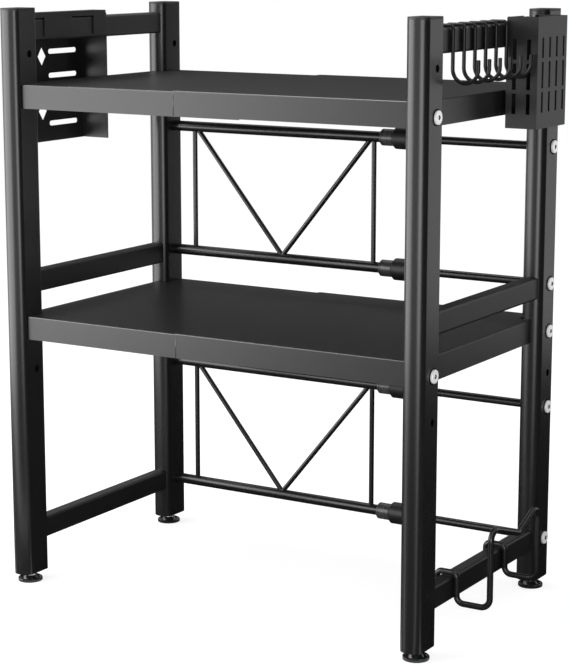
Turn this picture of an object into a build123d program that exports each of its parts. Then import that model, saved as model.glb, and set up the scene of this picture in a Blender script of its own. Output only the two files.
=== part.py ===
from build123d import *
import os

os.makedirs("parts", exist_ok=True)

# Overall sizes. X runs left to right, Y front to back, Z up from the floor, all in millimetres.
stand_width = 600.0
stand_depth = 363.0

# Posts: D-shaped tube with flat sides and back and an arched front.
post_width = 28.0
post_flat = 33.0
post_arch = 10.0
post_corner = 3.0
post_wall = 1.2
post_length = 728.0
hole_inset = 15.0
shelf_hole_radius = 4.5
rod_hole_radius = 3.25
cap_height = 3.0
cap_edge = 0.8
cap_skirt = 12.0
cap_wall = 1.2
plug_height = 24.0
plug_clearance = 0.1

# Side rails: rectangular tube between the posts.
rail_width = 18.0
rail_height = 28.0
rail_corner = 3.0
rail_wall = 1.2
top_rail_drop = 25.0
middle_rail_rise = 39.5
bottom_rail_rise = 54.5

# Shelves: folded sheet, a left half that slides inside a right half.
shelf_sheet = 0.6
shelf_lip = 30.0
shelf_fold = 1.5
shelf_front_inset = 10.0
shelf_back_inset = 5.0
shelf_wing = 16.0
wing_gap = 0.5
shelf_gap = 0.3
shelf_bolt_drop = 18.0
top_shelf_drop = 90.0
shelf_step = 294.0
spare_hole_step = 54.0
right_half_end_x = -43.0
left_half_end_x = 50.0

# Rear rods: a tube from the left and a thinner rod from the right, one inside the other.
top_rod_drop = 77.5
upper_rod_rise = 43.0
lower_rod_drop = 116.5
bottom_rod_rise = 53.3
tube_radius = 7.1
rod_radius = 5.3
slide_clearance = 0.1
tube_end_x = 92.0
rod_end_x = -70.0
thread_depth = 15.0
thread_clearance = 0.05

# Twist locks: a fixed nose ring and a turning collar.
nose_start_x = 57.0
nose_radius = 11.1
nose_chamfer = 1.5
nose_groove_depth = 0.5
nose_groove_width = 1.2
collar_start_x = 76.0
collar_end_x = 100.0
collar_radius = 14.6
collar_chamfer = 3.0
collar_edge = 0.8
turn_clearance = 0.05

# Brace wires between the rear tubes.
wire_radius = 3.3
wire_bite = 1.5
brace_centre_x = -97.0
brace_half_width = 141.8
brace_top_reach = 135.0
brace_bottom_reach = 1.5

# Bolts and nuts.
shelf_bolt_radius = 4.0
rod_bolt_radius = 3.0
head_radius = 8.0
head_height = 3.2
head_edge = 0.8
socket_flat = 5.0
socket_depth = 1.5
shelf_bolt_length = 36.0
nut_flat = 13.0
nut_height = 6.0

# Levelling feet.
foot_height = 12.0
pad_radius = 16.0
pad_rim_height = 4.0
pad_rim_width = 2.4
pad_edge = 0.8
pad_dish_depth = 1.2
boss_foot_radius = 10.0
boss_radius = 7.5
boss_height = 7.0
seat_height = 2.5
stud_radius = 4.0
stud_top_z = 44.0
stud_chamfer = 0.8
hex_flat = 13.0

# Gaps left between pieces that move apart.
hang_gap = 0.3
stop_gap = 0.3

# J-hooks of round wire on the right top rail.
hook_wire = 2.25
hook_count = 6
hook_first_inset = 27.0
hook_pitch = 28.0
hook_drop = 61.5
hook_tip_rise = 26.5
hook_span = 32.0
hook_bend = 4.5
hook_leg = 20.0
tip_edge = 0.8

# Hangers folded over the top rails, with a leg down each side of the rail.
hanger_gap = 0.5
hanger_leg = 13.0

# Utensil box outside the right frame.
box_sheet = 1.0
box_back_inset = 21.5
box_length = 83.5
box_depth = 40.5
box_rise = 8.2
box_height = 131.5
box_corner = 2.0
slot_width = 5.0
slot_middle_length = 31.0
slot_outer_length = 24.0
slot_row_step = 32.0
slot_middle_drop = 68.3
slot_first_inset = 14.7
slot_pitch = 19.8
slot_columns = 4
front_slot_columns = 2
front_slot_inset = 10.4
front_slot_pitch = 18.4
front_slot_drop = 2.0
box_fold_inset = 44.5
box_fold_length = 34.0

# Knife rack outside the left frame.
rack_sheet = 1.0
rack_front_inset = 11.0
rack_length = 169.0
rack_depth = 41.5
rack_rise = 2.0
rack_height = 167.0
rack_strip = 25.0
rack_fold_rise = 7.0
rack_fold_reach = 10.5
rack_fold_length = 151.0
front_notch_length = 21.0
middle_notch_inset = 67.0
middle_notch_length = 46.5
notch_corner = 3.0
notch_tab_reach = 9.0
vent_length = 60.0
vent_width = 6.5
vent_inset = 124.0
vent_pitch = 31.5
vent_top_drop = 49.0
vent_count = 4
diamond_width = 17.0
diamond_height = 24.0
diamond_inset = 80.0
diamond_top_drop = 55.0
diamond_pitch = 71.6
blade_slot_length = 28.0
blade_slot_width = 5.0
blade_slot_pitch = 27.0
blade_slot_count = 6

# Board rack of one bent rod on the right bottom rail.
board_rod = 3.75
board_front_inset = 56.5
board_span = 133.5
board_reach = 42.75
board_bar_drop = 18.5
board_peak_rise = 79.5
board_dip_inset = 76.5
board_dip_rise = 55.5
board_leg = 14.0
board_tight_bend = 6.0
board_bend = 12.0
board_wide_bend = 9.0

# Places that follow from the sizes above.
post_x = (stand_width - post_width) / 2
post_inner_x = stand_width / 2 - post_width
front_back_y = post_flat + post_arch - stand_depth / 2
rear_back_y = stand_depth / 2
post_top_z = foot_height + post_length
top_shelf_z = post_top_z - top_shelf_drop
lower_shelf_z = top_shelf_z - shelf_step
top_rail_z = post_top_z - top_rail_drop
middle_rail_z = lower_shelf_z + middle_rail_rise
bottom_rail_z = foot_height + bottom_rail_rise
rail_inner_x = post_x - rail_width / 2
rail_outer_x = post_x + rail_width / 2
rail_start_y = front_back_y
rail_seam_y = rear_back_y - post_flat
rear_arch_y = rail_seam_y - post_arch
top_rail_top = top_rail_z + rail_height / 2
bottom_rail_top = bottom_rail_z + rail_height / 2
wing_half = rear_arch_y - wing_gap
bend_reach = rail_width / 2 + hanger_gap - rail_corner - hang_gap
bend_side = rail_width / 2 - rail_corner
fold_z = top_rail_top - rail_corner - (bend_reach**2 - bend_side**2) ** 0.5
front_hole_y = front_back_y - hole_inset
rear_hole_y = rear_back_y - hole_inset
shelf_front_y = shelf_front_inset - stand_depth / 2
shelf_back_y = stand_depth / 2 - shelf_back_inset
rod_y = rear_hole_y
top_rod_z = top_shelf_z - top_rod_drop
upper_rod_z = lower_shelf_z + upper_rod_rise
lower_rod_z = lower_shelf_z - lower_rod_drop
bottom_rod_z = foot_height + bottom_rod_rise
upper_bolt_z = top_shelf_z - shelf_bolt_drop
lower_bolt_z = lower_shelf_z - shelf_bolt_drop
upper_spare_z = upper_bolt_z + spare_hole_step
lower_spare_z = lower_bolt_z - spare_hole_step
shelf_hole_heights = [upper_spare_z, upper_bolt_z, lower_bolt_z, lower_spare_z]
rod_heights = {"top": top_rod_z, "upper": upper_rod_z, "lower": lower_rod_z, "bottom": bottom_rod_z}
sides = {"left": -1, "right": 1}
post_backs = {"front": front_back_y, "rear": rear_back_y}


def save(piece, name):
    piece.part.label = name
    export_step(piece.part, "parts/" + name + ".step")


def post_outline(x_mid, y_back, inset):
    # the D shape of a post seen from above, drawn in by inset all round
    half = post_width / 2 - inset
    with BuildSketch() as outline:
        with Locations((x_mid, y_back - post_flat)):
            Ellipse(half, post_arch - inset)
            Rectangle(2 * half, post_flat - inset, align=(Align.CENTER, Align.MIN))
        fillet(outline.vertices().sort_by(Axis.Y)[-2:], post_corner - inset)
    return outline.sketch


def make_post(x_mid, y_back, rod_holes):
    outer = post_outline(x_mid, y_back, 0)
    bore = post_outline(x_mid, y_back, post_wall)
    hole_y = y_back - hole_inset
    with BuildPart() as post:
        with BuildSketch(Plane.XY.offset(foot_height)):
            add(outer)
            add(bore, mode=Mode.SUBTRACT)
        extrude(amount=post_length)
        with BuildSketch(Plane.YZ.offset(x_mid - post_width)):
            with Locations(*[(hole_y, z) for z in shelf_hole_heights]):
                Circle(shelf_hole_radius)
            for z in rod_holes:
                with Locations((hole_y, z)):
                    Circle(rod_hole_radius)
        extrude(amount=2 * post_width, mode=Mode.SUBTRACT)
    return post


def make_cap(x_mid, y_back):
    # a thin lid on the post with a hollow skirt inside the tube
    lid = post_outline(x_mid, y_back, 0)
    skirt = post_outline(x_mid, y_back, post_wall + plug_clearance)
    hollow = post_outline(x_mid, y_back, post_wall + plug_clearance + cap_wall)
    with BuildPart() as cap:
        with BuildSketch(Plane.XY.offset(post_top_z)):
            add(lid)
        extrude(amount=cap_height)
        fillet(cap.faces().sort_by(Axis.Z)[-1].edges(), cap_edge)
        with BuildSketch(Plane.XY.offset(post_top_z)):
            add(skirt)
            add(hollow, mode=Mode.SUBTRACT)
        extrude(amount=-cap_skirt)
    return cap


def make_plug(x_mid, y_back):
    # threaded plug in the foot of the post, level with the tube's end
    outline = post_outline(x_mid, y_back, post_wall + plug_clearance)
    y_mid = y_back - (post_flat + post_arch) / 2
    with BuildPart() as plug:
        with BuildSketch(Plane.XY.offset(foot_height)):
            add(outline)
            with Locations((x_mid, y_mid)):
                Circle(stud_radius + turn_clearance, mode=Mode.SUBTRACT)
        extrude(amount=plug_height)
    return plug


def make_pad(x_mid, y_mid):
    # round pad with a raised rim and a socket that the stud turns in
    dish = pad_rim_height - pad_dish_depth
    lip = pad_radius - pad_rim_width
    socket = stud_radius + turn_clearance
    with BuildPart() as pad:
        with BuildSketch(Plane((x_mid, y_mid, 0), x_dir=(1, 0, 0), z_dir=(0, -1, 0))):
            with BuildLine():
                Polyline(
                    (0, 0),
                    (pad_radius, 0),
                    (pad_radius, pad_rim_height - pad_edge),
                    (pad_radius - pad_edge, pad_rim_height),
                    (lip, pad_rim_height),
                    (lip - pad_dish_depth, dish),
                    (boss_foot_radius, dish),
                    (boss_radius, boss_height),
                    (socket, boss_height),
                    (socket, seat_height),
                    (0, seat_height),
                    close=True,
                )
            make_face()
        revolve(axis=Axis((x_mid, y_mid, 0), (0, 0, 1)))
    return pad


def make_stud(x_mid, y_mid):
    # threaded stud with a hexagon that a spanner turns
    foot = seat_height + stop_gap
    with BuildPart() as stud:
        with BuildSketch(Plane.XY.offset(foot)):
            with Locations((x_mid, y_mid)):
                Circle(stud_radius)
        extrude(amount=stud_top_z - foot)
        chamfer(stud.faces().sort_by(Axis.Z)[-1].edges(), stud_chamfer)
        with BuildSketch(Plane.XY.offset(boss_height + stop_gap)):
            with Locations((x_mid, y_mid)):
                RegularPolygon(hex_flat / 2, 6, major_radius=False)
        extrude(amount=foot_height - boss_height - 2 * stop_gap)
    return stud


def make_rail(x_mid, z_mid):
    # square-cut on the front post, coped to the arch of the rear post
    rear_post = post_outline(x_mid, rear_back_y, 0)
    inner_width = rail_width - 2 * rail_wall
    inner_height = rail_height - 2 * rail_wall
    with BuildPart() as rail:
        with BuildSketch(Plane.XZ.offset(-rail_start_y)):
            with Locations((x_mid, z_mid)):
                RectangleRounded(rail_width, rail_height, rail_corner)
                RectangleRounded(inner_width, inner_height, rail_corner - rail_wall, mode=Mode.SUBTRACT)
        extrude(amount=rail_start_y - rail_seam_y)
        with BuildSketch(Plane.XY.offset(z_mid - rail_height)):
            add(rear_post)
        extrude(amount=2 * rail_height, mode=Mode.SUBTRACT)
    return rail


def make_shelf_half(side, top_z, inset, free_x):
    # a tray turned over: top, front and back lips, outer lip between the posts, end tabs on the posts
    front = shelf_front_y + inset
    back = shelf_back_y - inset
    top = top_z - inset
    tab_x = side * post_inner_x
    wing_x = side * (post_inner_x + shelf_wing)
    middle = (front + back) / 2
    with BuildPart() as half:
        with BuildSketch(Plane.XY.offset(top)):
            with Locations(((tab_x + free_x) / 2, middle)):
                Rectangle(abs(tab_x - free_x), back - front)
            with Locations(((tab_x + wing_x) / 2, 0)):
                Rectangle(shelf_wing, 2 * wing_half)
        extrude(amount=-shelf_lip)
        rim = half.faces().sort_by(Axis.Z)[-1].edges()
        folds = rim.filter_by(lambda e: abs(e.center().X - free_x) > shelf_fold)
        folds = folds.filter_by(lambda e: abs(abs(e.center().Y) - wing_half) > shelf_fold)
        uprights = half.edges().filter_by(Axis.Z)
        uprights = uprights.filter_by(lambda e: abs(e.center().X - tab_x) < shelf_fold)
        uprights = uprights.filter_by(lambda e: abs(e.center().Y) > wing_half + shelf_fold)
        fillet(folds + uprights, shelf_fold)
        with BuildSketch(Plane.XY.offset(top - shelf_sheet)):
            with Locations(((tab_x + free_x) / 2 - side * shelf_sheet, middle)):
                Rectangle(abs(tab_x - free_x), back - front - 2 * shelf_sheet)
            with Locations(((free_x + wing_x) / 2 - side * shelf_sheet, 0)):
                Rectangle(abs(wing_x - free_x), 2 * wing_half)
        extrude(amount=-shelf_lip, mode=Mode.SUBTRACT)
        with BuildSketch(Plane.YZ.offset(tab_x - post_width)):
            with Locations((front_hole_y, top_z - shelf_bolt_drop), (rear_hole_y, top_z - shelf_bolt_drop)):
                Circle(shelf_hole_radius)
        extrude(amount=2 * post_width, mode=Mode.SUBTRACT)
    return half


def round_bar(points, bends, radius):
    # round wire or rod bent along the points, with its two ends softened
    with BuildPart() as bar:
        with BuildLine() as run:
            FilletPolyline(*points, radius=bends)
        with BuildSketch(Plane(run.line ^ 0)):
            Circle(radius)
        sweep()
        fillet(bar.faces().filter_by(GeomType.PLANE).edges(), tip_edge)
    return bar


def straight_wire(start, end):
    with BuildPart() as wire:
        with BuildLine() as run:
            Line(start, end)
        with BuildSketch(Plane(run.line ^ 0)):
            Circle(wire_radius)
        sweep()
    return wire.part


def make_brace(upper_z, lower_z):
    # two rear tubes joined by two upright wires and a V of two sloping wires
    high = upper_z - tube_radius + wire_bite
    low = lower_z + tube_radius - wire_bite
    wires = []
    for way in (-1, 1):
        upright = brace_centre_x + way * brace_half_width
        slope_top = brace_centre_x + way * brace_top_reach
        slope_foot = brace_centre_x + way * brace_bottom_reach
        wires.append(straight_wire((upright, rod_y, low), (upright, rod_y, high)))
        wires.append(straight_wire((slope_foot, rod_y, low), (slope_top, rod_y, high)))
    with BuildPart() as brace:
        with BuildSketch(Plane.YZ.offset(-post_inner_x)):
            with Locations((rod_y, upper_z), (rod_y, lower_z)):
                Circle(tube_radius)
        extrude(amount=post_inner_x + tube_end_x)
        add(wires)
        with BuildSketch(Plane.YZ.offset(-post_inner_x)):
            with Locations((rod_y, upper_z), (rod_y, lower_z)):
                Circle(rod_bolt_radius + thread_clearance)
        extrude(amount=thread_depth, mode=Mode.SUBTRACT)
        with BuildSketch(Plane.YZ.offset(thread_depth - post_inner_x)):
            with Locations((rod_y, upper_z), (rod_y, lower_z)):
                Circle(rod_radius + slide_clearance)
        extrude(amount=post_inner_x + tube_end_x - thread_depth, mode=Mode.SUBTRACT)
    return brace


def make_rod(z_mid):
    # thinner rod, threaded inside at its right end
    with BuildPart() as rod:
        with BuildSketch(Plane.YZ.offset(rod_end_x)):
            with Locations((rod_y, z_mid)):
                Circle(rod_radius)
        extrude(amount=post_inner_x - rod_end_x)
        with BuildSketch(Plane.YZ.offset(post_inner_x)):
            with Locations((rod_y, z_mid)):
                Circle(rod_bolt_radius + thread_clearance)
        extrude(amount=-thread_depth, mode=Mode.SUBTRACT)
    return rod


def turned_ring(z_mid, points):
    # ring turned about a rod's axis from points given as (x, radius)
    with BuildPart() as ring:
        with BuildSketch(Plane((0, rod_y, z_mid), x_dir=(1, 0, 0), z_dir=(0, -1, 0))):
            with BuildLine():
                Polyline(*points, close=True)
            make_face()
        revolve(axis=Axis((0, rod_y, z_mid), (1, 0, 0)))
    return ring


def make_nose(z_mid):
    groove = nose_start_x + 2 * nose_chamfer
    floor = nose_radius - nose_groove_depth
    return turned_ring(
        z_mid,
        [
            (nose_start_x, tube_radius),
            (nose_start_x, nose_radius - nose_chamfer),
            (nose_start_x + nose_chamfer, nose_radius),
            (groove, nose_radius),
            (groove, floor),
            (groove + nose_groove_width, floor),
            (groove + nose_groove_width, nose_radius),
            (collar_start_x, nose_radius),
            (collar_start_x, tube_radius),
        ],
    )


def make_collar(z_mid):
    # turns on the tube's end and closes down to the rod behind it
    start = collar_start_x + stop_gap
    step = tube_end_x + stop_gap
    bore = tube_radius + turn_clearance
    mouth = rod_radius + hang_gap
    return turned_ring(
        z_mid,
        [
            (start, bore),
            (start, collar_radius - collar_chamfer),
            (start + collar_chamfer, collar_radius),
            (collar_end_x - collar_edge, collar_radius),
            (collar_end_x, collar_radius - collar_edge),
            (collar_end_x, mouth),
            (step, mouth),
            (step, bore),
        ],
    )


def make_bolts(side, spots, shank, length):
    # heads on the outer face of the posts, shanks running inward
    face = side * stand_width / 2
    with BuildPart() as bolts:
        with BuildSketch(Plane.YZ.offset(face)):
            with Locations(*spots):
                Circle(head_radius)
        extrude(amount=side * head_height)
        fillet(bolts.edges().sort_by(lambda e: side * e.center().X)[-len(spots):], head_edge)
        with BuildSketch(Plane.YZ.offset(face)):
            with Locations(*spots):
                Circle(shank)
        extrude(amount=-side * length)
        with BuildSketch(Plane.YZ.offset(face + side * head_height)):
            with Locations(*spots):
                RegularPolygon(socket_flat / 2, 6, major_radius=False)
        extrude(amount=-side * socket_depth, mode=Mode.SUBTRACT)
    return bolts


def make_nuts(side, spots):
    face = side * (post_inner_x - shelf_sheet)
    with BuildPart() as nuts:
        with BuildSketch(Plane.YZ.offset(face)):
            with Locations(*spots):
                RegularPolygon(nut_flat / 2, 6, major_radius=False, rotation=30)
                Circle(shelf_bolt_radius + thread_clearance, mode=Mode.SUBTRACT)
        extrude(amount=-side * nut_height)
    return nuts


# Posts with their caps and foot plugs, and the feet under them.
for side_name, side in sides.items():
    for end_name, y_back in post_backs.items():
        name = side_name + "_" + end_name
        foot_y = y_back - (post_flat + post_arch) / 2
        rod_holes = rod_heights.values() if end_name == "rear" else []
        save(make_post(side * post_x, y_back, rod_holes), name + "_post")
        save(make_cap(side * post_x, y_back), name + "_cap")
        save(make_plug(side * post_x, y_back), name + "_plug")
        save(make_pad(side * post_x, foot_y), name + "_pad")
        save(make_stud(side * post_x, foot_y), name + "_stud")

# Side rails.
for side_name, side in sides.items():
    save(make_rail(side * post_x, top_rail_z), side_name + "_top_rail")
    save(make_rail(side * post_x, middle_rail_z), side_name + "_middle_rail")
    save(make_rail(side * post_x, bottom_rail_z), side_name + "_bottom_rail")

# Shelves.
left_inset = shelf_sheet + shelf_gap
save(make_shelf_half(1, top_shelf_z, 0, right_half_end_x), "top_shelf_right_half")
save(make_shelf_half(-1, top_shelf_z, left_inset, left_half_end_x), "top_shelf_left_half")
save(make_shelf_half(1, lower_shelf_z, 0, right_half_end_x), "lower_shelf_right_half")
save(make_shelf_half(-1, lower_shelf_z, left_inset, left_half_end_x), "lower_shelf_left_half")

# Rear rods, brace panels and twist locks.
save(make_brace(top_rod_z, upper_rod_z), "upper_brace")
save(make_brace(lower_rod_z, bottom_rod_z), "lower_brace")
for rod_name, z_mid in rod_heights.items():
    save(make_rod(z_mid), rod_name + "_rod")
    save(make_nose(z_mid), rod_name + "_nose")
    save(make_collar(z_mid), rod_name + "_collar")

# Bolts and nuts of each side.
shelf_spots = [(y, z) for y in (front_hole_y, rear_hole_y) for z in (upper_bolt_z, lower_bolt_z)]
rod_spots = [(rod_y, z) for z in rod_heights.values()]
rod_bolt_length = post_width + thread_depth - stop_gap
for side_name, side in sides.items():
    save(make_bolts(side, shelf_spots, shelf_bolt_radius, shelf_bolt_length), side_name + "_shelf_bolts")
    save(make_bolts(side, rod_spots, rod_bolt_radius, rod_bolt_length), side_name + "_rod_bolts")
    save(make_nuts(side, shelf_spots), side_name + "_shelf_nuts")

# J-hooks: over the rail, down its outer face and round to an upturned tip.
hook_inner_x = rail_inner_x - hang_gap - hook_wire
hook_outer_x = rail_outer_x + hang_gap + hook_wire
hook_top = top_rail_top + hang_gap + hook_wire
hook_bottom = hook_top - hook_drop - hang_gap - hook_wire
hook_round = hook_span / 2 - tip_edge / 8
for index in range(hook_count):
    hook_y = front_back_y + hook_first_inset + index * hook_pitch
    hook_points = [
        (hook_inner_x, hook_y, hook_top - hook_leg),
        (hook_inner_x, hook_y, hook_top),
        (hook_outer_x, hook_y, hook_top),
        (hook_outer_x, hook_y, hook_bottom),
        (hook_outer_x + hook_span, hook_y, hook_bottom),
        (hook_outer_x + hook_span, hook_y, hook_bottom + hook_tip_rise),
    ]
    hook_bends = [hook_bend, hook_bend, hook_round, hook_round]
    save(round_bar(hook_points, hook_bends, hook_wire), "hook_" + str(index + 1))

# Utensil box: open top, slotted front and outer walls, hung by a fold over the top rail.
hanger_x = rail_outer_x + hanger_gap
box_outer_x = hanger_x + box_depth
box_mid_x = hanger_x + box_depth / 2
box_front_y = rear_arch_y - box_back_inset - box_length
box_mid_y = box_front_y + box_length / 2
box_fold_y = box_front_y + box_fold_inset
box_top_z = top_rail_top + box_rise
slot_middle_z = box_top_z - slot_middle_drop
slot_rows = [
    (slot_middle_z - slot_row_step, slot_outer_length),
    (slot_middle_z, slot_middle_length),
    (slot_middle_z + slot_row_step, slot_outer_length),
]
hanger_inner = rail_width / 2 + hanger_gap
box_leg_mid = hanger_inner + box_sheet / 2
with BuildPart() as utensil_box:
    with BuildSketch(Plane.XY.offset(box_top_z)):
        with Locations((box_mid_x, box_mid_y)):
            Rectangle(box_depth, box_length)
    extrude(amount=-box_height)
    with BuildSketch(Plane.XY.offset(box_top_z)):
        with Locations((box_mid_x, box_mid_y)):
            Rectangle(box_depth - 2 * box_sheet, box_length - 2 * box_sheet)
    extrude(amount=box_sheet - box_height, mode=Mode.SUBTRACT)
    with BuildSketch(Plane.XZ.offset(-box_front_y)):
        with Locations((hanger_x, box_top_z)):
            Rectangle(2 * box_corner, 2 * box_corner)
        with Locations((hanger_x + box_corner, box_top_z - box_corner)):
            Circle(box_corner, mode=Mode.SUBTRACT)
    extrude(amount=-box_length, mode=Mode.SUBTRACT)
    with BuildSketch(Plane.XZ.offset(-box_fold_y)):
        with Locations((hanger_x, box_top_z)):
            Rectangle(2 * box_sheet, 2 * (box_top_z - fold_z))
    extrude(amount=-box_fold_length, mode=Mode.SUBTRACT)
    with BuildSketch(Plane.YZ.offset(box_outer_x)):
        for column in range(slot_columns):
            for row_z, row_length in slot_rows:
                with Locations((box_front_y + slot_first_inset + column * slot_pitch, row_z)):
                    Rectangle(slot_width, row_length)
    extrude(amount=-2 * box_sheet, mode=Mode.SUBTRACT)
    with BuildSketch(Plane.XZ.offset(-box_front_y)):
        for column in range(front_slot_columns):
            slot_x = hanger_x + front_slot_inset + column * front_slot_pitch
            for row_z, row_length in slot_rows:
                with Locations((slot_x, row_z - front_slot_drop)):
                    Rectangle(slot_width, row_length)
    extrude(amount=-2 * box_sheet, mode=Mode.SUBTRACT)
    with BuildSketch(Plane.XZ.offset(-box_fold_y)):
        with Locations((post_x, fold_z)):
            Circle(hanger_inner + box_sheet)
            Circle(hanger_inner, mode=Mode.SUBTRACT)
            Rectangle(4 * hanger_inner, 4 * hanger_inner, align=(Align.CENTER, Align.MAX), mode=Mode.SUBTRACT)
        with Locations((post_x - box_leg_mid, fold_z)):
            Rectangle(box_sheet, hanger_leg, align=(Align.CENTER, Align.MAX))
        with Locations((post_x + box_leg_mid, fold_z)):
            Rectangle(box_sheet, box_sheet, align=(Align.CENTER, Align.MAX))
    extrude(amount=-box_fold_length)
save(utensil_box, "utensil_box")

# Knife rack: slotted top, pierced outer wall, open below and towards the frame. A long square fold
# hangs it on the rail, where it rests on the tabs bent in from the fold's two notches.
rack_outer_x = hanger_x + rack_depth
rack_mid_x = -hanger_x - rack_depth / 2
rack_front_y = front_back_y + rack_front_inset
rack_mid_y = rack_front_y + rack_length / 2
rack_top_z = top_rail_top + rack_rise
rack_fold_y = rack_front_y - rack_fold_reach
vent_y = rack_front_y + vent_inset
vent_top_z = rack_top_z - vent_top_drop
diamond_y = rack_front_y + diamond_inset
diamond_top_z = rack_top_z - diamond_top_drop
rack_fold_top = top_rail_top + rack_fold_rise
rack_leg_foot = rack_top_z - rack_strip
fold_height = rack_fold_top - rack_leg_foot
tab_top_z = top_rail_top + hang_gap + rack_sheet
notch_height = 2 * (tab_top_z - rack_leg_foot)
notches = [
    (rack_fold_y - notch_corner, front_notch_length + notch_corner),
    (rack_front_y + middle_notch_inset, middle_notch_length),
]
with BuildPart() as knife_rack:
    with BuildSketch(Plane.XY.offset(rack_top_z)):
        with Locations((rack_mid_x, rack_mid_y)):
            Rectangle(rack_depth, rack_length)
    extrude(amount=-rack_height)
    with BuildSketch(Plane.XY.offset(rack_top_z - rack_sheet)):
        with Locations((rack_mid_x, rack_mid_y)):
            Rectangle(rack_depth - 2 * rack_sheet, rack_length - 2 * rack_sheet)
    extrude(amount=-rack_height, mode=Mode.SUBTRACT)
    with BuildSketch(Plane.XY.offset(rack_top_z - rack_strip)):
        with Locations((-hanger_x - rack_sheet / 2, rack_mid_y)):
            Rectangle(2 * rack_sheet, rack_length - 2 * rack_sheet)
    extrude(amount=-rack_height, mode=Mode.SUBTRACT)
    with BuildSketch(Plane.YZ.offset(-rack_outer_x)):
        with Locations(*[(vent_y, vent_top_z - row * vent_pitch) for row in range(vent_count)]):
            SlotOverall(vent_length, vent_width)
        with Locations((diamond_y, diamond_top_z), (diamond_y, diamond_top_z - diamond_pitch)):
            Polygon(
                (-diamond_width / 2, 0),
                (0, -diamond_height / 2),
                (diamond_width / 2, 0),
                (0, diamond_height / 2),
            )
    extrude(amount=2 * rack_sheet, mode=Mode.SUBTRACT)
    with BuildSketch(Plane.XY.offset(rack_top_z)):
        with Locations((rack_mid_x, rack_mid_y)):
            with GridLocations(0, blade_slot_pitch, 1, blade_slot_count):
                SlotOverall(blade_slot_length, blade_slot_width)
    extrude(amount=-2 * rack_sheet, mode=Mode.SUBTRACT)
    with BuildSketch(Plane.XZ.offset(-rack_fold_y)):
        with Locations((-post_x, rack_fold_top)):
            Rectangle(2 * (hanger_inner + rack_sheet), fold_height, align=(Align.CENTER, Align.MAX))
        with Locations((-post_x, rack_fold_top - rack_sheet)):
            Rectangle(2 * hanger_inner, fold_height, align=(Align.CENTER, Align.MAX), mode=Mode.SUBTRACT)
    extrude(amount=-rack_fold_length)
    with BuildSketch(Plane.YZ.offset(-post_x)):
        for notch_y, notch_length in notches:
            with Locations((notch_y + notch_length / 2, rack_leg_foot)):
                RectangleRounded(notch_length, notch_height, notch_corner)
    extrude(amount=post_width, mode=Mode.SUBTRACT)
    with BuildSketch(Plane.XY.offset(tab_top_z)):
        for notch_y, notch_length in notches:
            with Locations((hanger_inner + rack_sheet - post_x, notch_y + notch_length / 2)):
                Rectangle(notch_tab_reach, notch_length - 2 * notch_corner, align=(Align.MAX, Align.CENTER))
    extrude(amount=-rack_sheet)
save(knife_rack, "knife_rack")

# Board rack: two loops off the bottom rail, joined by a shallow V at the front.
board_inner_x = rail_inner_x - hang_gap - board_rod
board_outer_x = rail_outer_x + hang_gap + board_rod
board_top_z = bottom_rail_top + hang_gap + board_rod
board_front_y = front_back_y + board_front_inset
board_back_y = board_front_y + board_span
board_dip_y = board_front_y + board_dip_inset
board_face_x = stand_width / 2 + board_reach
board_bar_z = bottom_rail_z - board_bar_drop
board_peak_z = bottom_rail_z + board_peak_rise
board_dip_z = bottom_rail_z + board_dip_rise
board_points = [
    (board_inner_x, board_front_y, board_top_z - board_leg),
    (board_inner_x, board_front_y, board_top_z),
    (board_outer_x, board_front_y, board_top_z),
    (board_outer_x, board_front_y, board_bar_z),
    (board_face_x, board_front_y, board_bar_z),
    (board_face_x, board_front_y, board_peak_z),
    (board_face_x, board_dip_y, board_dip_z),
    (board_face_x, board_back_y, board_peak_z),
    (board_face_x, board_back_y, board_bar_z),
    (board_outer_x, board_back_y, board_bar_z),
    (board_outer_x, board_back_y, board_top_z),
    (board_inner_x, board_back_y, board_top_z),
    (board_inner_x, board_back_y, board_top_z - board_leg),
]
board_half_bends = [board_tight_bend, board_tight_bend, board_wide_bend, board_bend, board_bend]
board_bends = board_half_bends + [board_bend] + board_half_bends[::-1]
save(round_bar(board_points, board_bends, board_rod), "board_rack")
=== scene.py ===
import math

import bmesh
import bpy
from mathutils import Matrix, Vector


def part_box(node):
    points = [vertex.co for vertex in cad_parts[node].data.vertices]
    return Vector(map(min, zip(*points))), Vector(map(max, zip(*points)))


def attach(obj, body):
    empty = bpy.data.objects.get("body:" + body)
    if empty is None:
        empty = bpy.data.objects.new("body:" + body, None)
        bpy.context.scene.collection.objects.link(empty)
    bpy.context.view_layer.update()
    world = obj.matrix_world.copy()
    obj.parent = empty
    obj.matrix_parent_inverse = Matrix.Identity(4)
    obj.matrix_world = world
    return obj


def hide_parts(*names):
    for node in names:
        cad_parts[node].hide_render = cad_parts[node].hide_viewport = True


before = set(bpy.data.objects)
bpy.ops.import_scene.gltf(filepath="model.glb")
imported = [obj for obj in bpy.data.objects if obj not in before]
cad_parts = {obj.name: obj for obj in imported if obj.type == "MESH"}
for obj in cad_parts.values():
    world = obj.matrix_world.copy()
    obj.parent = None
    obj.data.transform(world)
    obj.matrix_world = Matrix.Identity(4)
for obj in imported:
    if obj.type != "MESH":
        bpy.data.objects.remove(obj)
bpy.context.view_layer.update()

bl_info = {
    "name": "Microwave stand",
    "version": (1, 0, 0),
    "blender": (4, 5, 0),
    "location": "3D View > Sidebar > Stand",
    "description": "Dresses an extendable kitchen stand with its finishes, fine pieces and studio",
    "category": "Object",
}

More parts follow.
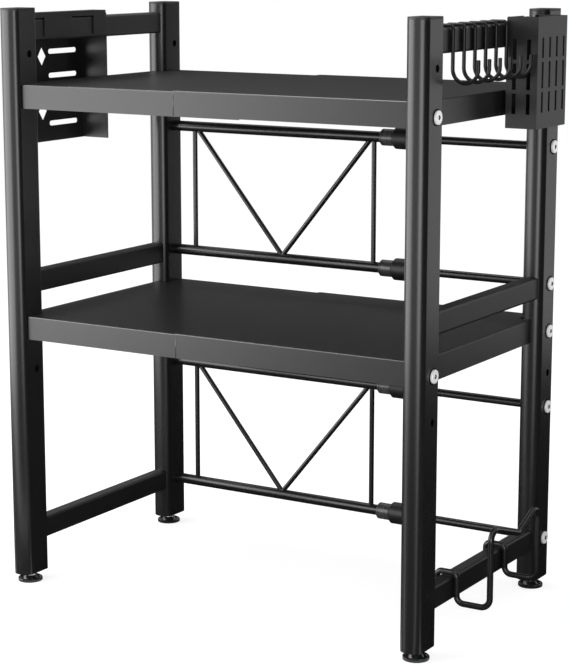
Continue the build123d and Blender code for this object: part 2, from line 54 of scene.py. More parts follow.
# Names of the frame's nodes.
SIDES = ("left", "right")
CORNERS = [side + "_" + end for side in SIDES for end in ("front", "rear")]
RAIL_LEVELS = ("top", "middle", "bottom")
SHELVES = ("top", "lower")
BRACES = ("upper", "lower")
RODS = ("top", "upper", "lower", "bottom")
FASTENERS = ("_shelf_bolts", "_rod_bolts", "_shelf_nuts")
HOOK_COUNT = 6
HOOKS = ["hook_" + str(number + 1) for number in range(HOOK_COUNT)]

# Sizes of the solids that the fine pieces fit, in metres.
MM = 0.001
STUD_RADIUS = 4.0 * MM
STUD_CHAMFER = 0.8 * MM
HEX_FOOT = 7.3 * MM
HEX_TOP = 11.7 * MM
THREAD_FOOT = 12.5 * MM
HEAD_RADIUS = 8.0 * MM
HEAD_HEIGHT = 3.2 * MM
SOCKET_RADIUS = 2.86 * MM
SOCKET_FLOOR = 1.72 * MM
# Thickness of the painted shade that lines the bolt sockets.
SOCKET_SHADE_THICKNESS = 0.2 * MM
SOCKET_SIDES = 6
FOLD_RADIUS = 1.5 * MM

# Fineness of the new pieces.
TURN_STEPS = 48
PITCH_STEPS = 6
BEAD_STEPS = 8

# Rounding of the sheets' edges.
WELD_REACH = 0.005 * MM
EDGE_SEGMENTS = 2
EDGE_ANGLE = math.radians(35)
SHADING_WEIGHT = 80

# Slopes of the faces that get a second finish: painted shade on the walls inside a post, and a painted
# highlight on the folds of a shelf.
WALL_SLOPE = 0.5
FOLD_SLOPE = 0.2

# Mottle and relief that the finishes share.
MASK_MIDDLE = 0.5
MOTTLE_SCALE = 22.0
MOTTLE_TINT = (0.92, 1.08)
RING_TINT = (0.8, 1.15)
RING_STRETCH = (1.0, 0.02, 0.02)
RELIEF_DEPTH = 0.2 * MM

# Studio: each soft box and card has its place, the point that it faces and its size, in metres,
# and each box has the property that holds its power.
SOFT_BOXES = {
    "left_box": ((-1.19, -0.95, 0.65), (0.0, 0.0, 0.65), (1.52, 1.3), "left_power"),
    "front_box": ((1.03, -1.60, 0.42), (0.1, -0.1, 0.42), (0.75, 0.8), "front_power"),
    "overhead_box": ((-0.6, -0.4, 2.4), (-0.1, -0.1, 0.3), (2.0, 1.2), "top_power"),
}
STANDING_CARDS = {
    "right_card": ((1.35, 0.02, 0.75), (0.0, 0.02, 0.75), (2.24, 1.5)),
    "back_right_card": ((0.28, 0.78, 0.50), (0.20, 0.0, 0.50), (0.38, 1.0)),
    "back_left_card": ((-1.55, 2.30, 1.40), (0.0, 0.0, 1.40), (3.0, 1.60)),
}
CARD_LIFT = 1.0 * MM
FLOOR_CARD = ((0.0, 0.72, CARD_LIFT), (0.0, 0.72, 1.0), (3.0, 1.75))
FAN_BEARINGS = ((-90, -70), (-53, 26), (40, 90))
FAN_REACH = 1.7
FAN_STEPS = 4
FLOOR_RADIUS = 6.0
FLOOR_SIDES = 96
FLOOR_GREY = 0.9
FLOOR_GLOW = 1.26
FLOOR_GLOW_PART = 0.6
CAMERA_PLACE = (1.3170, -2.1443, 0.8221)
CAMERA_AIM = (-0.5115, 0.8380, -0.1905)
SENSOR_WIDTH = 36.0
CLIP_END = 100.0


def middle(node):
    low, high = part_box(node)
    return (low + high) / 2


# Sizes and colours that a user may change.


class StandSizes(bpy.types.PropertyGroup):
    edge: bpy.props.FloatProperty(
        name="Edge rounding", description="Radius put on the cut edges of the folded sheets",
        default=0.0003, min=0.0001, max=0.002, unit="LENGTH")
    thread_pitch: bpy.props.FloatProperty(
        name="Thread pitch", description="Rise of the foot thread in one turn",
        default=0.00125, min=0.0005, max=0.003, unit="LENGTH")
    thread_depth: bpy.props.FloatProperty(
        name="Thread depth", description="Height of the foot thread",
        default=0.0005, min=0.0001, max=0.001, unit="LENGTH")
    # Painted shadow: the dark washer rings round the bolt heads stand in for their contact shadow.
    shadow_ring_reach: bpy.props.FloatProperty(
        name="Washer reach",
        description="How far the dark washers reach out from under the bolt heads",
        default=0.0016, min=0.0005, max=0.003, unit="LENGTH")
    shadow_ring_height: bpy.props.FloatProperty(
        name="Washer height", description="Thickness of the dark washers",
        default=0.0006, min=0.0002, max=0.002, unit="LENGTH")
    bead_width: bpy.props.FloatProperty(
        name="Bead width",
        description="Width of the thicker coat along the cut ends of the outer shelf halves",
        default=0.0010, min=0.0004, max=0.002, unit="LENGTH")
    bead_height: bpy.props.FloatProperty(
        name="Bead height", description="How far that thicker coat stands out",
        default=0.0003, min=0.0001, max=0.001, unit="LENGTH")


class StandFinish(bpy.types.PropertyGroup):
    tube_colour: bpy.props.FloatVectorProperty(
        name="Tube coat", description="Powder coat of the posts, rails and rods",
        subtype="COLOR", size=3, min=0, max=1, default=(0.008, 0.008, 0.0085))
    shelf_colour: bpy.props.FloatVectorProperty(
        name="Shelf coat", description="Powder coat of the two shelves",
        subtype="COLOR", size=3, min=0, max=1, default=(0.009, 0.009, 0.0095))
    plastic_colour: bpy.props.FloatVectorProperty(
        name="Plastic", description="Plastic of the caps, plugs and twist locks",
        subtype="COLOR", size=3, min=0, max=1, default=(0.008, 0.008, 0.0085))
    # Painted shade: this near-black colour paints shade and shadow on the rings round the bolt heads,
    # the socket walls and the walls inside the posts.
    painted_shade_colour: bpy.props.FloatVectorProperty(
        name="Matt black",
        description="Washers, socket walls of the bolts and the inside of the posts",
        subtype="COLOR", size=3, min=0, max=1, default=(0.003, 0.003, 0.003))
    ring_colour: bpy.props.FloatVectorProperty(
        name="Nose ring", description="Satin plastic of the rings beside the twist locks",
        subtype="COLOR", size=3, min=0, max=1, default=(0.040, 0.040, 0.042))
    zinc_colour: bpy.props.FloatVectorProperty(
        name="Zinc", description="Plating of the bolts, nuts and threaded studs",
        subtype="COLOR", size=3, min=0, max=1, default=(0.95, 0.955, 0.96))
    grain: bpy.props.FloatProperty(
        name="Coat grain", description="Height of the fine grain of the powder coat",
        default=0.10, min=0, max=1)


class StandStudio(bpy.types.PropertyGroup):
    lens: bpy.props.FloatProperty(
        name="Lens", description="Focal length on a 36 mm sensor", default=108.66, min=20, max=300)
    left_power: bpy.props.FloatProperty(
        name="Left light", description="Strength of the wide soft box at the front left",
        default=30.0, min=0, max=1000, unit="POWER")
    front_power: bpy.props.FloatProperty(
        name="Front light", description="Strength of the low soft box in front",
        default=10.0, min=0, max=1000, unit="POWER")
    top_power: bpy.props.FloatProperty(
        name="Top light", description="Strength of the soft box overhead",
        default=34.0, min=0, max=1000, unit="POWER")
    fill: bpy.props.FloatProperty(
        name="Fill", description="Brightness of the surround that lights the stand",
        default=0.90, min=0, max=2)
    card_colour: bpy.props.FloatVectorProperty(
        name="Black cards", description="Colour of the cards that the coat mirrors as dark bands",
        subtype="COLOR", size=3, min=0, max=1, default=(0.012, 0.012, 0.012))


# Shader node groups that several finishes share.


def new_group(name, values):
    """Group with a colour and numbers as inputs, and with colour, roughness and normal as outputs."""
    group = bpy.data.node_groups.new(name, "ShaderNodeTree")
    for label, default in values.items():
        kind = "NodeSocketColor" if label == "Colour" else "NodeSocketFloat"
        socket = group.interface.new_socket(name=label, in_out="INPUT", socket_type=kind)
        socket.default_value = default
    for label, kind in (("Colour", "Color"), ("Roughness", "Float"), ("Normal", "Vector")):
        group.interface.new_socket(name=label, in_out="OUTPUT", socket_type="NodeSocket" + kind)
    return group


def add_node(tree, kind, inputs, **settings):
    """Node with its inputs linked, where a socket is given, or else set to a value."""
    node = tree.nodes.new("ShaderNode" + kind)
    for key, value in settings.items():
        setattr(node, key, value)
    for key, value in inputs.items():
        if isinstance(value, bpy.types.NodeSocket):
            tree.links.new(value, node.inputs[key])
        else:
            node.inputs[key].default_value = value
    return node


def tint_between(tree, mask, tints):
    """Number that goes from the darker to the lighter tint where a mask goes from 0 to 1."""
    tint = add_node(tree, "MapRange", {"Value": mask, "To Min": tints[0], "To Max": tints[1]})
    return tint.outputs["Result"]


def put_out(tree, colour, tint, roughness, relief, height):
    """Feeds the outputs of a group with the tinted colour, the roughness and a bumped normal."""
    result = tree.nodes.new("NodeGroupOutput")
    shade = add_node(tree, "VectorMath", {0: colour, "Scale": tint}, operation="SCALE")
    bump = add_node(tree, "Bump", {"Distance": RELIEF_DEPTH, "Strength": height, "Height": relief})
    tree.links.new(shade.outputs["Vector"], result.inputs["Colour"])
    tree.links.new(roughness.outputs[0], result.inputs["Roughness"])
    tree.links.new(bump.outputs["Normal"], result.inputs["Normal"])


def make_coat_group():
    """Fine grain and soft mottling of a powder coat or a moulded plastic."""
    group = new_group("coat_grain", {
        "Colour": (0.01, 0.01, 0.01, 1), "Roughness": 0.4, "Roughness Spread": 0.05,
        "Grain Scale": 1500.0, "Grain Height": 0.1})
    given = group.nodes.new("NodeGroupInput").outputs
    place = group.nodes.new("ShaderNodeTexCoord").outputs["Object"]
    mottle = add_node(group, "TexNoise", {"Vector": place, "Scale": MOTTLE_SCALE, "Detail": 3.0})
    spread = add_node(group, "Math", {0: mottle.outputs["Fac"], 1: MASK_MIDDLE}, operation="SUBTRACT")
    rough = add_node(
        group, "Math", {0: spread.outputs[0], 1: given["Roughness Spread"], 2: given["Roughness"]},
        operation="MULTIPLY_ADD")
    tint = tint_between(group, mottle.outputs["Fac"], MOTTLE_TINT)
    grain = add_node(group, "TexNoise", {"Vector": place, "Scale": given["Grain Scale"], "Detail": 2.0})
    put_out(group, given["Colour"], tint, rough, grain.outputs["Fac"], given["Grain Height"])
    return group


def make_turned_group():
    """Fine rings round an axis along X, as on a turned or plated piece."""
    group = new_group("turned_rings", {
        "Colour": (0.5, 0.5, 0.5, 1), "Roughness": 0.3, "Ring Scale": 600.0, "Ring Height": 0.1})
    given = group.nodes.new("NodeGroupInput").outputs
    place = group.nodes.new("ShaderNodeTexCoord").outputs["Object"]
    stretch = add_node(group, "VectorMath", {0: place, 1: RING_STRETCH}, operation="MULTIPLY")
    rings = add_node(
        group, "TexNoise",
        {"Vector": stretch.outputs["Vector"], "Scale": given["Ring Scale"], "Detail": 2.0})
    tint = tint_between(group, rings.outputs["Fac"], RING_TINT)
    rough = add_node(group, "Math", {0: given["Roughness"], 1: tint}, operation="MULTIPLY")
    put_out(group, given["Colour"], tint, rough, rings.outputs["Fac"], given["Ring Height"])
    return group


def shared_group(name):
    makers = {"coat_grain": make_coat_group, "turned_rings": make_turned_group}
    return bpy.data.node_groups.get(name) or makers[name]()


def finish_material(name, group_name, colour, settings, shader_settings):
    """Material with one shared group feeding its shader, made once and then found by its name."""
    known = bpy.data.materials.get(name)
    if known:
        return known
    material = bpy.data.materials.new(name)
    material.use_nodes = True
    nodes, links = material.node_tree.nodes, material.node_tree.links
    shader = nodes["Principled BSDF"]
    surface = nodes.new("ShaderNodeGroup")
    surface.node_tree = shared_group(group_name)
    surface.inputs["Colour"].default_value = (*colour, 1)
    for key, value in settings.items():
        surface.inputs[key].default_value = value
    links.new(surface.outputs["Colour"], shader.inputs["Base Color"])
    links.new(surface.outputs["Roughness"], shader.inputs["Roughness"])
    links.new(surface.outputs["Normal"], shader.inputs["Normal"])
    for key, value in shader_settings.items():
        shader.inputs[key].default_value = value
    return material


def stand_finish():
    return bpy.context.scene.stand_finish


def powder_coat(name, colour, roughness, spread, specular):
    return finish_material(
        name, "coat_grain", colour,
        {"Roughness": roughness, "Roughness Spread": spread, "Grain Height": stand_finish().grain},
        {"Specular IOR Level": specular})


def plastic(name, colour, roughness, grain_scale, grain_height, specular):
    return finish_material(
        name, "coat_grain", colour,
        {"Roughness": roughness, "Grain Scale": grain_scale, "Grain Height": grain_height},
        {"Specular IOR Level": specular})


def tube_coat():
    return powder_coat(
        "tube_powder_coat", stand_finish().tube_colour, roughness=0.27, spread=0.02, specular=0.45)


def rail_coat():
    return powder_coat(
        "rail_powder_coat", stand_finish().tube_colour, roughness=0.42, spread=0.02, specular=0.45)


def wire_coat():
    return powder_coat(
        "wire_powder_coat", stand_finish().tube_colour, roughness=0.18, spread=0.02, specular=0.20)


def shelf_coat():
    return powder_coat(
        "shelf_powder_coat", stand_finish().shelf_colour, roughness=0.36, spread=0.03, specular=0.45)


# Painted highlight: a smoother, more reflective copy of the shelf coat, for the shelf folds and the
# seam beads.
def highlight_fold_coat():
    return powder_coat(
        "fold_powder_coat", stand_finish().shelf_colour, roughness=0.24, spread=0.02, specular=0.95)


def sheet_coat():
    return powder_coat(
        "rack_powder_coat", stand_finish().tube_colour, roughness=0.40, spread=0.04, specular=0.40)


def dark_plastic():
    return plastic(
        "dark_moulded_plastic", stand_finish().plastic_colour,
        roughness=0.45, grain_scale=900.0, grain_height=0.08, specular=0.40)


# Painted shade and shadow, for the rings round the bolt heads, the socket walls and the walls inside
# the posts.
def painted_shade_black():
    return plastic(
        "black_matt", stand_finish().painted_shade_colour,
        roughness=0.80, grain_scale=900.0, grain_height=0.05, specular=0.10)


def pad_plastic():
    return plastic(
        "gloss_pad_plastic", stand_finish().plastic_colour,
        roughness=0.22, grain_scale=500.0, grain_height=0.04, specular=0.50)


def ring_plastic():
    return finish_material(
        "satin_ring_plastic", "turned_rings", stand_finish().ring_colour,
        {"Roughness": 0.28, "Ring Scale": 500.0, "Ring Height": 0.15},
        {"Specular IOR Level": 0.50, "Metallic": 0.0})


def zinc_plate():
    return finish_material(
        "zinc_plating", "turned_rings", stand_finish().zinc_colour,
        {"Roughness": 0.40, "Ring Scale": 900.0, "Ring Height": 0.05},
        {"Metallic": 0.35})


# Help for dressing the nodes.


def dress(node_name, material, edge=0.0):
    """Finish of a node of the frame, with its sharp edges rounded when an edge size is given."""
    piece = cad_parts.get(node_name)
    if piece is None:
        raise RuntimeError("the frame has no node " + node_name)
    piece.data.materials.clear()
    piece.data.materials.append(material)
    if edge:
        weld = piece.modifiers.new("weld", "WELD")
        weld.merge_threshold = WELD_REACH
        bevel = piece.modifiers.new("soft edges", "BEVEL")
        bevel.width = edge
        bevel.segments = EDGE_SEGMENTS
        bevel.limit_method = "ANGLE"
        bevel.angle_limit = EDGE_ANGLE
        bevel.use_clamp_overlap = True
        shade = piece.modifiers.new("even shading", "WEIGHTED_NORMAL")
        shade.keep_sharp = True
        shade.weight = SHADING_WEIGHT
    return piece


def refinish(piece, material, chosen):
    """Second finish on the faces of a dressed node that a test picks out."""
    piece.data.materials.append(material)
    for polygon in piece.data.polygons:
        if chosen(polygon):
            polygon.material_index = 1


def darken_inside(piece, node_name):
    """Painted shade: matt near-black on the walls inside a tube, so that the spare holes show dark."""
    centre = middle(node_name)

    def faces_in(polygon):
        out = polygon.center - centre
        inward = polygon.normal.x * out.x + polygon.normal.y * out.y < 0
        return inward and abs(polygon.normal.z) < WALL_SLOPE

    refinish(piece, painted_shade_black(), faces_in)


def highlight_folds(piece):
    """Smoother, more reflective copy of the shelf coat on the rounded folds between the top of a shelf
    and its lips, which paints a highlight line along them.
    """

    def on_fold(polygon):
        return polygon.normal.z > FOLD_SLOPE and abs(polygon.normal.y) > FOLD_SLOPE

    refinish(piece, highlight_fold_coat(), on_fold)


def new_piece(name, builder, material, body):
    """Object at the origin made from a bmesh, riding on a body of the frame."""
    bmesh.ops.recalc_face_normals(builder, faces=builder.faces)
    mesh = bpy.data.meshes.new(name)
    builder.to_mesh(mesh)
    builder.free()
    mesh.materials.append(material)
    piece = bpy.data.objects.new(name, mesh)
    bpy.context.scene.collection.objects.link(piece)
    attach(piece, body)
    return piece


def ring_of_points(builder, centre, z, radius):
    """Level ring of vertices round a centre, where radius is a number or a function of the angle."""
    points = []
    for step in range(TURN_STEPS):
        angle = 2 * math.pi * step / TURN_STEPS
        reach = radius(angle) if callable(radius) else radius
        point = (centre.x + reach * math.cos(angle), centre.y + reach * math.sin(angle), z)
        points.append(builder.verts.new(point))
    return points


def join_rings(builder, lower, upper, smooth):
    """Band of faces between two rings."""
    for step in range(TURN_STEPS):
        after = (step + 1) % TURN_STEPS
        face = builder.faces.new((lower[step], lower[after], upper[after], upper[step]))
        face.smooth = smooth


def threaded_stud(corner, sizes):
    """Foot stud with a cut thread and a hexagon, in place of the plain one of the frame."""
    node = corner + "_stud"
    low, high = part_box(node)
    centre = middle(node)
    flat = (high.y - low.y) / 2
    sector = math.pi / 3

    def hexagon(angle):
        """Radius of the hexagon in a direction."""
        return flat / math.cos((angle % sector) - sector / 2)

    def thread(z):
        """Radius of the thread at a height, which falls and rises once in each pitch."""
        def reach(angle):
            turn = (z - THREAD_FOOT) / sizes.thread_pitch - angle / (2 * math.pi)
            return STUD_RADIUS - sizes.thread_depth * abs(2 * (turn % 1.0) - 1.0)
        return reach

    levels = [
        (low.z, STUD_RADIUS), (HEX_FOOT, STUD_RADIUS), (HEX_FOOT, hexagon),
        (HEX_TOP, hexagon), (HEX_TOP, STUD_RADIUS), (THREAD_FOOT, STUD_RADIUS)]
    plain_bands = len(levels) - 1
    top = high.z - STUD_CHAMFER
    count = int(round((top - THREAD_FOOT) / sizes.thread_pitch * PITCH_STEPS))
    for row in range(1, count):
        z = THREAD_FOOT + (top - THREAD_FOOT) * row / count
        levels.append((z, thread(z)))
    levels.append((top, STUD_RADIUS - sizes.thread_depth))
    levels.append((high.z, STUD_RADIUS - STUD_CHAMFER))
    builder = bmesh.new()
    rings = [ring_of_points(builder, centre, z, radius) for z, radius in levels]
    for number, (lower, upper) in enumerate(zip(rings, rings[1:])):
        join_rings(builder, lower, upper, smooth=number >= plain_bands)
    builder.faces.new(rings[0])
    builder.faces.new(rings[-1])
    name = corner + "_threaded_stud"
    piece = new_piece(name, builder, zinc_plate(), corner + "_screw")
    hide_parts(node)


def spin_ring(builder, profile, centre, way, steps):
    """Closed ring from a profile of rises and radii, spun round a line along X through a centre."""
    points = [builder.verts.new(centre + Vector((way * rise, radius, 0))) for rise, radius in profile]
    edges = [builder.edges.new(pair) for pair in zip(points, points[1:] + points[:1])]
    bmesh.ops.spin(
        builder, geom=points + edges, cent=centre, axis=(1, 0, 0), angle=2 * math.pi, steps=steps,
        use_merge=True)


def shadow_rings(side, kind, places, sizes):
    """Flat dark rings, shaped like washers, round the bolt heads of one side, which paint the contact
    shadow there, and painted shade on the walls of their sockets.
    """
    low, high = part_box(side + "_front_post")
    face, way = (low.x, -1) if side == "left" else (high.x, 1)
    inner, outer = HEAD_RADIUS, HEAD_RADIUS + sizes.shadow_ring_reach
    top = sizes.shadow_ring_height
    soft = top / 3
    # Painted shadow: washer-shaped ring round each head.
    shadow_ring_profile = [(0.0, inner), (0.0, outer), (top - soft, outer), (top, outer - soft), (top, inner)]
    # Painted shade: a near-black hexagonal lining on the socket walls, from the socket floor up to the
    # face of the head.
    wall = SOCKET_RADIUS - SOCKET_SHADE_THICKNESS
    socket_shade = [
        (SOCKET_FLOOR, SOCKET_RADIUS), (HEAD_HEIGHT, SOCKET_RADIUS),
        (HEAD_HEIGHT, wall), (SOCKET_FLOOR, wall)]
    builder = bmesh.new()
    for y, z in places:
        centre = Vector((face, y, z))
        spin_ring(builder, shadow_ring_profile, centre, way, TURN_STEPS)
        spin_ring(builder, socket_shade, centre, way, SOCKET_SIDES)
    new_piece(side + kind, builder, painted_shade_black(), side + "_side")


def coat_bead(shelf, sizes):
    """Bead of thicker coat along the cut ends of the lips of a shelf's outer half; its bright line
    comes partly from its shape and partly from the more reflective fold copy of the coat, a painted
    highlight.
    """
    low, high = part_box(shelf + "_shelf_right_half")
    height = high.z - FOLD_RADIUS - low.z
    builder = bmesh.new()
    for face, way in ((low.y, -1), (high.y, 1)):
        outline = []
        for step in range(BEAD_STEPS + 1):
            angle = math.pi * step / BEAD_STEPS
            x = low.x + sizes.bead_width / 2 * (1 - math.cos(angle))
            y = face + way * sizes.bead_height * math.sin(angle)
            outline.append(builder.verts.new((x, y, low.z)))
        foot = builder.faces.new(outline)
        grown = bmesh.ops.extrude_face_region(builder, geom=[foot], use_keep_orig=True)["geom"]
        raised = [part for part in grown if isinstance(part, bmesh.types.BMVert)]
        bmesh.ops.translate(builder, verts=raised, vec=(0, 0, height))
        for wall in set(touching for point in raised for touching in point.link_faces):
            stands_out = (wall.calc_center_median().y - face) * way > 0
            wall.smooth = stands_out and len(wall.verts) == 4
    new_piece(shelf + "_shelf_bead", builder, highlight_fold_coat(), "right_side")


# Operators, one for each group of like pieces.


class STAND_OT_posts(bpy.types.Operator):
    """Coats the four posts, paints shade on the walls inside them, and puts the caps and foot plugs in
    them
    """
    bl_idname = "stand.posts"
    bl_label = "Posts and caps"

    def execute(self, context):
        for corner in CORNERS:
            # Painted shade on the walls inside each post.
            darken_inside(dress(corner + "_post", tube_coat()), corner + "_post")
            dress(corner + "_cap", dark_plastic())
            dress(corner + "_plug", dark_plastic())
        return {"FINISHED"}


class STAND_OT_rails(bpy.types.Operator):
    """Coats the six side rails"""
    bl_idname = "stand.rails"
    bl_label = "Side rails"

    def execute(self, context):
        for side in SIDES:
            for level in RAIL_LEVELS:
                dress(side + "_" + level + "_rail", rail_coat())
        return {"FINISHED"}


class STAND_OT_shelves(bpy.types.Operator):
    """Coats the four shelf halves with a painted highlight on their folds, and puts a bead along the
    seams
    """
    bl_idname = "stand.shelves"
    bl_label = "Shelves"

    def execute(self, context):
        sizes = context.scene.stand_sizes
        for shelf in SHELVES:
            for side in SIDES:
                # Painted highlight on the folds of each half.
                highlight_folds(dress(shelf + "_shelf_" + side + "_half", shelf_coat(), sizes.edge))
        for shelf in SHELVES:
            coat_bead(shelf, sizes)
        return {"FINISHED"}


class STAND_OT_braces(bpy.types.Operator):
    """Coats the brace panels and the sliding rods"""
    bl_idname = "stand.braces"
    bl_label = "Rear braces and rods"

    def execute(self, context):
        for panel in BRACES:
            dress(panel + "_brace", tube_coat())
        for rod in RODS:
            dress(rod + "_rod", tube_coat())
        return {"FINISHED"}


class STAND_OT_twist_locks(bpy.types.Operator):
    """Finishes the nose rings and the turning collars"""
    bl_idname = "stand.twist_locks"
    bl_label = "Twist locks"

    def execute(self, context):
        for rod in RODS:
            dress(rod + "_nose", ring_plastic())
            dress(rod + "_collar", dark_plastic())
        return {"FINISHED"}


class STAND_OT_fasteners(bpy.types.Operator):
    """Plates the bolts and nuts, and adds dark rings of painted shadow round the heads and painted
    shade on their socket walls
    """
    bl_idname = "stand.fasteners"
    bl_label = "Bolts and nuts"

    def execute(self, context):
        sizes = context.scene.stand_sizes
        rod_places = [(middle(rod + "_rod").y, middle(rod + "_rod").z) for rod in RODS]
        for side in SIDES:
            for kind in FASTENERS:
                dress(side + kind, zinc_plate())
            low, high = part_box(side + "_shelf_bolts")
            depths = (low.y + HEAD_RADIUS, high.y - HEAD_RADIUS)
            heights = (low.z + HEAD_RADIUS, high.z - HEAD_RADIUS)
            shelf_places = [(y, z) for y in depths for z in heights]
            # Dark rings of painted shadow round the heads, with painted shade in their sockets.
            shadow_rings(side, "_shelf_washers", shelf_places, sizes)
            shadow_rings(side, "_rod_washers", rod_places, sizes)
        return {"FINISHED"}


class STAND_OT_feet(bpy.types.Operator):
    """Finishes the foot pads and their threaded studs"""
    bl_idname = "stand.feet"
    bl_label = "Levelling feet"

    def execute(self, context):
        for corner in CORNERS:
            dress(corner + "_pad", pad_plastic())
            threaded_stud(corner, context.scene.stand_sizes)
        return {"FINISHED"}


class STAND_OT_hooks(bpy.types.Operator):
    """Coats the six hooks on the right top rail"""
    bl_idname = "stand.hooks"
    bl_label = "Hooks"

    def execute(self, context):
        for hook in HOOKS:
            dress(hook, wire_coat())
        return {"FINISHED"}


class STAND_OT_racks(bpy.types.Operator):
    """Coats the utensil box, the knife rack and the board rack"""
    bl_idname = "stand.racks"
    bl_label = "Utensil box and racks"

    def execute(self, context):
        for rack in ("utensil_box", "knife_rack"):
            dress(rack, sheet_coat(), context.scene.stand_sizes.edge)
        dress("board_rack", tube_coat())
        return {"FINISHED"}


class STAND_OT_studio(bpy.types.Operator):
    """Sets up the floor, the white surround, the soft boxes, the cards and the camera"""
    bl_idname = "stand.studio"
    bl_label = "Studio"

    def execute(self, context):
        studio = context.scene.stand_studio
        context.scene.view_settings.view_transform = "Standard"
        self.surround(context, studio)
        self.floor()
        for name, (place, target, size, power) in SOFT_BOXES.items():
            self.soft_box(name, place, target, size, getattr(studio, power))
        for name, (place, target, size) in STANDING_CARDS.items():
            self.black_card(name, place, target, size, studio)
        self.black_card("floor_card", *FLOOR_CARD, studio).visible_shadow = False
        for number, (first, last) in enumerate(FAN_BEARINGS):
            name = "floor_fan_" + str(number + 1)
            self.floor_fan(name, first, last, studio).visible_shadow = False
        self.camera(context, studio)
        return {"FINISHED"}

    def seen(self, tree):
        """1 for rays of the camera and of gloss or clear pieces, and 0 for rays that light things."""
        path = tree.nodes.new("ShaderNodeLightPath").outputs
        direct = add_node(
            tree, "Math", {0: path["Is Camera Ray"], 1: path["Is Glossy Ray"]}, operation="MAXIMUM")
        either = add_node(
            tree, "Math", {0: direct.outputs[0], 1: path["Is Transmission Ray"]}, operation="MAXIMUM")
        return either.outputs[0]

    def mix_in_white(self, tree, part, plain, white, kind):
        """Output of a kind whose surface goes from a plain to a white shader by a part."""
        mix = add_node(tree, "MixShader", {0: part, 1: plain.outputs[0], 2: white.outputs[0]})
        add_node(tree, kind, {"Surface": mix.outputs[0]})

    def surround(self, context, studio):
        world = bpy.data.worlds.new("studio_surround")
        context.scene.world = world
        world.use_nodes = True
        tree = world.node_tree
        tree.nodes.clear()
        light = add_node(tree, "Background", {"Strength": studio.fill})
        white = add_node(tree, "Background", {"Color": (1, 1, 1, 1)})
        self.mix_in_white(tree, self.seen(tree), light, white, "OutputWorld")

    def floor(self):
        builder = bmesh.new()
        bmesh.ops.create_circle(builder, cap_ends=True, segments=FLOOR_SIDES, radius=FLOOR_RADIUS)
        floor = self.new_stage_piece("studio_floor", builder)
        material = bpy.data.materials.new("pale_floor")
        material.use_nodes = True
        tree = material.node_tree
        tree.nodes.clear()
        part = add_node(tree, "Math", {0: self.seen(tree), 1: FLOOR_GLOW_PART}, operation="MULTIPLY")
        matt = add_node(tree, "BsdfDiffuse", {"Color": (FLOOR_GREY, FLOOR_GREY, FLOOR_GREY, 1)})
        white = add_node(tree, "Emission", {"Strength": FLOOR_GLOW})
        self.mix_in_white(tree, part.outputs[0], matt, white, "OutputMaterial")
        floor.data.materials.append(material)

    def soft_box(self, name, place, target, size, power):
        lamp = bpy.data.lights.new(name, "AREA")
        lamp.shape = "RECTANGLE"
        lamp.size, lamp.size_y = size
        lamp.energy = power
        box = bpy.data.objects.new(name, lamp)
        box.location = place
        box.rotation_euler = (Vector(target) - Vector(place)).to_track_quat("-Z", "Y").to_euler()
        box.visible_camera = False
        bpy.context.scene.collection.objects.link(box)

    def black_card(self, name, place, target, size, studio):
        builder = bmesh.new()
        bmesh.ops.create_grid(builder, x_segments=1, y_segments=1, size=0.5)
        bmesh.ops.scale(builder, verts=builder.verts, vec=(*size, 1.0))
        turn = (Vector(target) - Vector(place)).to_track_quat("-Z", "Y").to_matrix().to_4x4()
        bmesh.ops.transform(builder, verts=builder.verts, matrix=Matrix.Translation(place) @ turn)
        return self.place_card(name, builder, studio)

    def floor_fan(self, name, first, last, studio):
        """Sector of dark floor in front of the front right post, from one bearing to another."""
        low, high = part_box("right_front_post")
        hub = Vector(((low.x + high.x) / 2, low.y, CARD_LIFT))
        builder = bmesh.new()
        points = [builder.verts.new(hub)]
        for step in range(FAN_STEPS + 1):
            bearing = math.radians(first + (last - first) * step / FAN_STEPS)
            out = Vector((math.sin(bearing), -math.cos(bearing), 0))
            points.append(builder.verts.new(hub + out * FAN_REACH))
        builder.faces.new(points)
        return self.place_card(name, builder, studio)

    def place_card(self, name, builder, studio):
        """Card that the coat mirrors, and that neither the camera nor the plain light sees."""
        material = bpy.data.materials.get("black_card") or bpy.data.materials.new("black_card")
        material.use_nodes = True
        shader = material.node_tree.nodes["Principled BSDF"]
        shader.inputs["Base Color"].default_value = (*studio.card_colour, 1)
        shader.inputs["Roughness"].default_value = 1.0
        shader.inputs["Specular IOR Level"].default_value = 0.0
        card = self.new_stage_piece(name, builder)
        card.data.materials.append(material)
        card.visible_camera = False
        card.visible_diffuse = False
        return card

    def new_stage_piece(self, name, builder):
        mesh = bpy.data.meshes.new(name)
        builder.to_mesh(mesh)
        builder.free()
        piece = bpy.data.objects.new(name, mesh)
        bpy.context.scene.collection.objects.link(piece)
        return piece

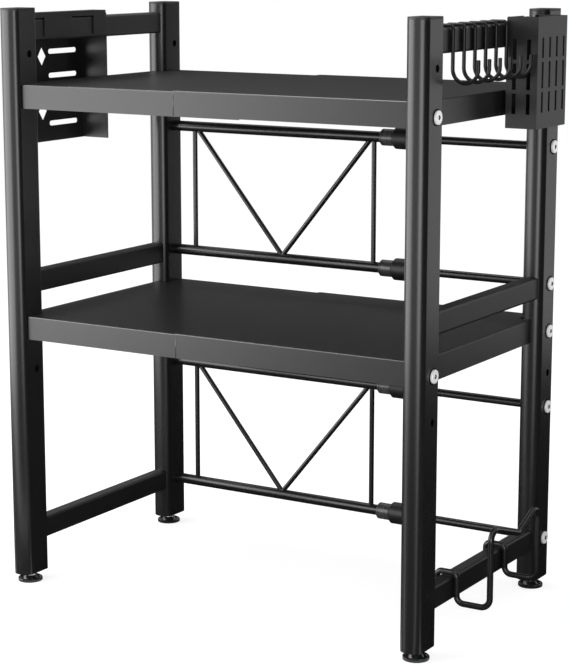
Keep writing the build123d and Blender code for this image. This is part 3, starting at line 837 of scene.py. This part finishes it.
    def camera(self, context, studio):
        lens = bpy.data.cameras.new("studio_camera")
        lens.sensor_fit = "AUTO"
        lens.sensor_width = SENSOR_WIDTH
        lens.lens = studio.lens
        lens.clip_end = CLIP_END
        camera = bpy.data.objects.new("studio_camera", lens)
        camera.location = CAMERA_PLACE
        camera.rotation_euler = Vector(CAMERA_AIM).to_track_quat("-Z", "Y").to_euler()
        context.scene.collection.objects.link(camera)
        context.scene.camera = camera


class STAND_PT_sidebar(bpy.types.Panel):
    """Lists the stand's sizes, finishes and steps"""
    bl_label = "Microwave stand"
    bl_idname = "STAND_PT_sidebar"
    bl_space_type = "VIEW_3D"
    bl_region_type = "UI"
    bl_category = "Stand"

    def draw(self, context):
        scene = context.scene
        for group in (scene.stand_sizes, scene.stand_finish, scene.stand_studio):
            column = self.layout.column(align=True)
            for key in group.bl_rna.properties.keys():
                if key not in ("rna_type", "name"):
                    column.prop(group, key)
        column = self.layout.column()
        for step in STEPS:
            column.operator(step.bl_idname)


STEPS = (
    STAND_OT_posts,
    STAND_OT_rails,
    STAND_OT_shelves,
    STAND_OT_braces,
    STAND_OT_twist_locks,
    STAND_OT_fasteners,
    STAND_OT_feet,
    STAND_OT_hooks,
    STAND_OT_racks,
    STAND_OT_studio,
)
GROUPS = {"stand_sizes": StandSizes, "stand_finish": StandFinish, "stand_studio": StandStudio}


def register():
    for name, group in GROUPS.items():
        bpy.utils.register_class(group)
        setattr(bpy.types.Scene, name, bpy.props.PointerProperty(type=group))
    for step in STEPS:
        bpy.utils.register_class(step)
    bpy.utils.register_class(STAND_PT_sidebar)


def unregister():
    bpy.utils.unregister_class(STAND_PT_sidebar)
    for step in reversed(STEPS):
        bpy.utils.unregister_class(step)
    for name, group in GROUPS.items():
        delattr(bpy.types.Scene, name)
        bpy.utils.unregister_class(group)


def main():
    register()
    bpy.ops.stand.posts()
    bpy.ops.stand.rails()
    bpy.ops.stand.shelves()
    bpy.ops.stand.braces()
    bpy.ops.stand.twist_locks()
    bpy.ops.stand.fasteners()
    bpy.ops.stand.feet()
    bpy.ops.stand.hooks()
    bpy.ops.stand.racks()
    bpy.ops.stand.studio()


if __name__ == "__main__":
    main()
